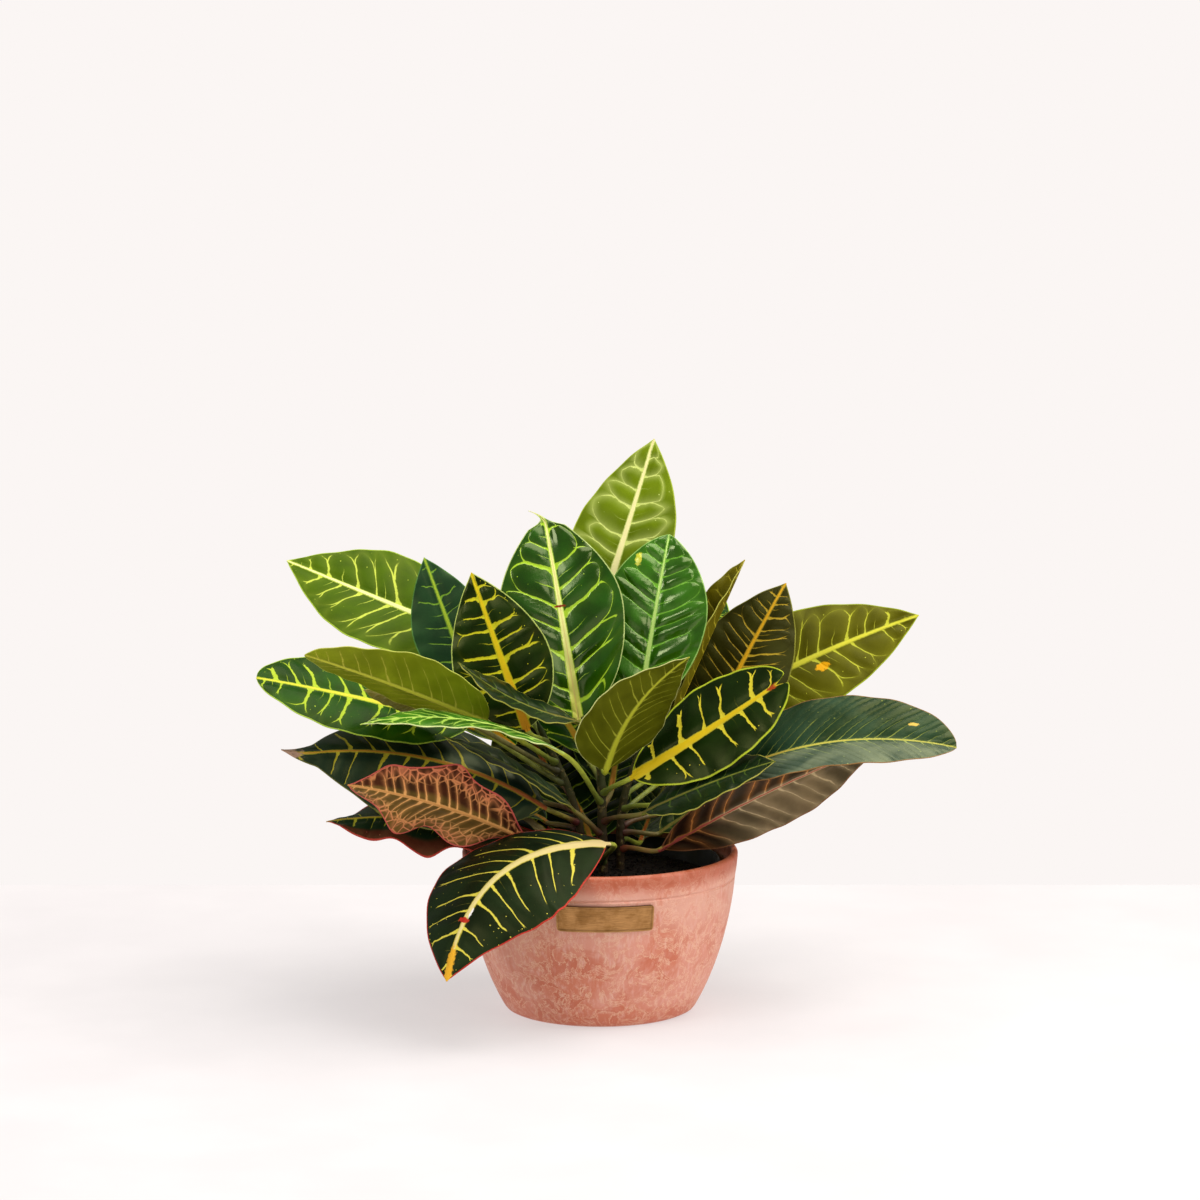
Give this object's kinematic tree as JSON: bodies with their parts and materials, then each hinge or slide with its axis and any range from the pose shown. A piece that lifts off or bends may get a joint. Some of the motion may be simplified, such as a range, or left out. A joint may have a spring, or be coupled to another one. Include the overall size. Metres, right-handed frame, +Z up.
{
  "type": "potted croton",
  "caption": "Leafy croton houseplant with variegated, boldly veined leaves in a nursery pot inside a bowl-shaped terracotta pot with a small bare brass plate.",
  "frame": {"origin": "centre of the clay pot's flat foot, on the surface it stands on", "axes": "+Z up; the plant's front, with the brass plate, faces -Y; +X to the right seen from the front"},
  "size_m": [0.4734, 0.3143, 0.3821],
  "materials": {
    "terracotta": "matte",
    "plate_brass": "satin",
    "nursery_plastic": "satin",
    "potting_soil": "matte",
    "stem_bark": "matte",
    "leaf_young": "satin",
    "leaf_green": "gloss",
    "leaf_bronze": "satin",
    "leaf_dark": "satin",
    "leaf_red": "satin"
  },
  "bodies": {
    "root": {"clay_pot": "terracotta", "name_plate": "plate_brass", "nursery_pot": "nursery_plastic", "stem_centre": "stem_bark", "stem_left": "stem_bark", "stem_right": "stem_bark", "soil": "potting_soil", "leaf_centre_01": "leaf_young", "leaf_centre_02": "leaf_green", "leaf_centre_03": "leaf_green", "leaf_centre_04": "leaf_bronze", "leaf_centre_05": "leaf_green", "leaf_centre_06": "leaf_green", "leaf_centre_07": "leaf_young", "leaf_centre_08": "leaf_dark", "leaf_centre_09": "leaf_dark", "leaf_centre_10": "leaf_red", "leaf_centre_11": "leaf_dark", "leaf_centre_12": "leaf_young", "leaf_centre_13": "leaf_green", "leaf_centre_14": "leaf_green", "leaf_centre_15": "leaf_dark", "leaf_centre_16": "leaf_dark", "leaf_centre_17": "leaf_dark", "leaf_left_01": "leaf_green", "leaf_left_02": "leaf_green", "leaf_left_03": "leaf_young", "leaf_left_04": "leaf_bronze", "leaf_left_05": "leaf_bronze", "leaf_left_06": "leaf_green", "leaf_left_07": "leaf_dark", "leaf_left_08": "leaf_dark", "leaf_left_09": "leaf_green", "leaf_left_10": "leaf_green", "leaf_left_11": "leaf_dark", "leaf_left_12": "leaf_dark", "leaf_left_13": "leaf_dark", "leaf_left_14": "leaf_dark", "leaf_right_01": "leaf_bronze", "leaf_right_02": "leaf_bronze", "leaf_right_03": "leaf_young", "leaf_right_04": "leaf_dark", "leaf_right_05": "leaf_dark", "leaf_right_06": "leaf_dark", "leaf_right_07": "leaf_green", "leaf_right_08": "leaf_bronze", "leaf_right_09": "leaf_green", "leaf_right_10": "leaf_dark", "leaf_right_11": "leaf_dark"}
  },
  "joints": []
}
